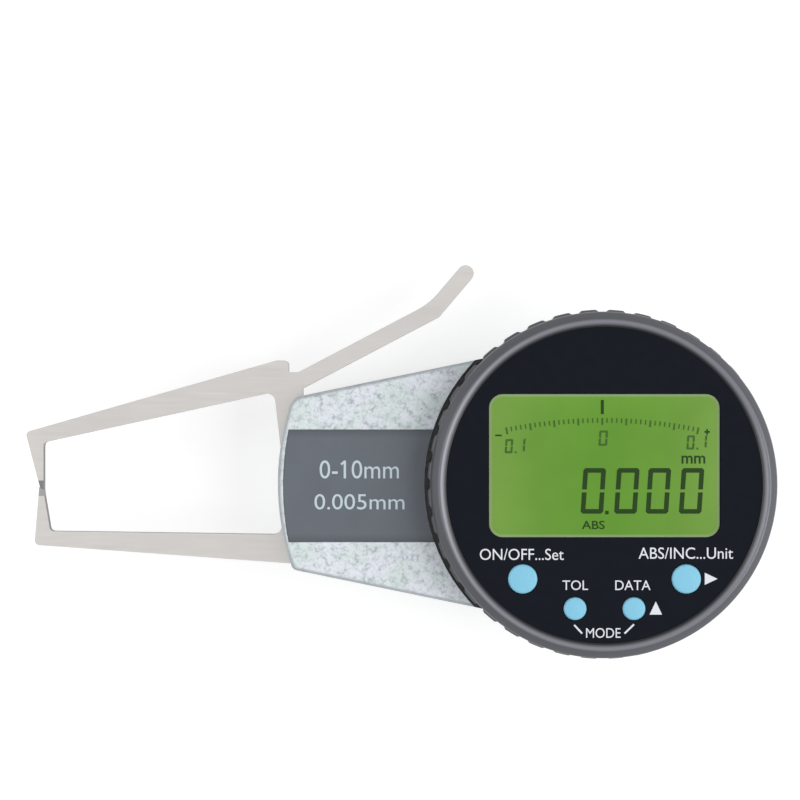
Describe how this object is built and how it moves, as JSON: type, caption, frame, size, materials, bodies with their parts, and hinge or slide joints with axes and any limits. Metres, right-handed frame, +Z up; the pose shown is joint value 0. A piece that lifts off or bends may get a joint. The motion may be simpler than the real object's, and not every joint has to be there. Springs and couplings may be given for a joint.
{
  "type": "digital outside diameter gauge",
  "caption": "Hand-held digital gauge with a fixed and a sprung measuring arm, a thumb lever, a tapered cast body and a round display head with a fluted turning bezel.",
  "frame": {"origin": "where the dial's axis meets the plane of the rear cover that the gauge rests on", "axes": "+Z up, out of the dial's face; the measuring arms run along -X from the dial; +Y towards the thumb lever's side"},
  "size_m": [0.13, 0.068, 0.0225],
  "materials": {
    "hammertone_paint": "hammered, semi-gloss",
    "cover_paint": "satin",
    "label_film": "satin",
    "stainless_plate": "satin ground",
    "hard_contact": "ground",
    "bezel_polymer": "satin",
    "panel_acrylic": "gloss",
    "display_crystal": "satin",
    "key_polymer": "satin",
    "screw_steel": "zinc plated",
    "pin_steel": "ground",
    "spring_steel": "bright",
    "plate_steel": "satin",
    "movement_brass": "satin",
    "board_laminate": "satin",
    "chip_resin": "matte",
    "connector_resin": "satin",
    "ribbon_film": "satin",
    "frame_resin": "satin",
    "strip_rubber": "matte",
    "port_rubber": "matte",
    "cell_steel": "bright",
    "cap_polymer": "satin"
  },
  "bodies": {
    "gauge_body": {"body_casting": "hammertone_paint", "rear_cover": "cover_paint", "rear_cover_screws": "screw_steel", "label_plate": "label_film", "fixed_arm": "stainless_plate", "fixed_contact": "hard_contact", "fixed_arm_screws": "screw_steel", "fixed_arm_spacers": "pin_steel", "main_plate": "plate_steel", "main_plate_screws": "screw_steel", "rear_pivot_bush": "movement_brass", "front_pivot_bush": "movement_brass", "rear_arbor_bush": "movement_brass", "front_arbor_bush": "movement_brass", "spring_post": "pin_steel", "return_spring": "spring_steel", "stator_board": "board_laminate", "stator_board_screws": "screw_steel", "stator_connector": "connector_resin", "measuring_chip": "chip_resin", "battery": "cell_steel", "battery_holder": "frame_resin", "battery_holder_screws": "screw_steel", "battery_contact": "spring_steel", "data_socket": "frame_resin", "head_snap_ring": "spring_steel", "display_flex": "ribbon_film"},
    "measuring_arm": {"moving_arm": "stainless_plate", "moving_contact": "hard_contact", "pivot_pin": "pin_steel", "sector_gear": "movement_brass", "sector_rivets": "pin_steel", "spring_pin": "pin_steel"},
    "encoder": {"pinion_arbor": "pin_steel", "rotor_disc": "board_laminate"},
    "display_head": {"bezel_ring": "bezel_polymer", "front_panel": "panel_acrylic", "display_frame": "frame_resin", "display_glass": "display_crystal", "contact_strips": "strip_rubber", "display_board": "board_laminate", "display_screws": "screw_steel", "key_switches": "spring_steel", "display_connector": "connector_resin"},
    "on_off_button": {"on_off_key": "key_polymer"},
    "abs_button": {"abs_key": "key_polymer"},
    "tolerance_button": {"tolerance_key": "key_polymer"},
    "data_button": {"data_key": "key_polymer"},
    "battery_lid": {"battery_cap": "cap_polymer", "battery_cap_seal": "strip_rubber"},
    "port_plug": {"port_cover": "port_rubber"}
  },
  "joints": [
    {"name": "arm_swing", "type": "hinge", "parent": "gauge_body", "child": "measuring_arm", "pos_m": [-0.049, 0, 0.0105], "axis": [0, 0, -1], "range_deg": [0, 12], "stiffness_Nm_per_rad": 0.1, "springref_deg": -28.65, "deforming": ["return_spring"]},
    {"name": "encoder_spin", "type": "hinge", "parent": "gauge_body", "child": "encoder", "pos_m": [0, 0, 0.0105], "axis": [0, 0, 1], "range_deg": [-1, 185]},
    {"name": "display_turn", "type": "hinge", "parent": "gauge_body", "child": "display_head", "pos_m": [0, 0, 0.0185], "axis": [0, 0, 1], "range_deg": [-135, 135], "deforming": ["display_flex"]},
    {"name": "on_off_press", "type": "slide", "parent": "display_head", "child": "on_off_button", "axis": [0, 0, -1], "range_m": [0, 0.0004], "stiffness_N_per_m": 1500},
    {"name": "abs_press", "type": "slide", "parent": "display_head", "child": "abs_button", "axis": [0, 0, -1], "range_m": [0, 0.0004], "stiffness_N_per_m": 1500},
    {"name": "tolerance_press", "type": "slide", "parent": "display_head", "child": "tolerance_button", "axis": [0, 0, -1], "range_m": [0, 0.0004], "stiffness_N_per_m": 1500},
    {"name": "data_press", "type": "slide", "parent": "display_head", "child": "data_button", "axis": [0, 0, -1], "range_m": [0, 0.0004], "stiffness_N_per_m": 1500},
    {"name": "battery_lid_turn", "type": "hinge", "parent": "gauge_body", "child": "battery_lid", "pos_m": [-0.017, 0, 0.001], "axis": [0, 0, -1], "range_deg": [0, 45]},
    {"name": "port_plug_slide", "type": "slide", "parent": "gauge_body", "child": "port_plug", "axis": [1, 0, 0], "range_m": [0, 0.006]}
  ],
  "couplings": [
    {"joint": "encoder_spin", "follows": "arm_swing", "ratio": 15.333}
  ]
}
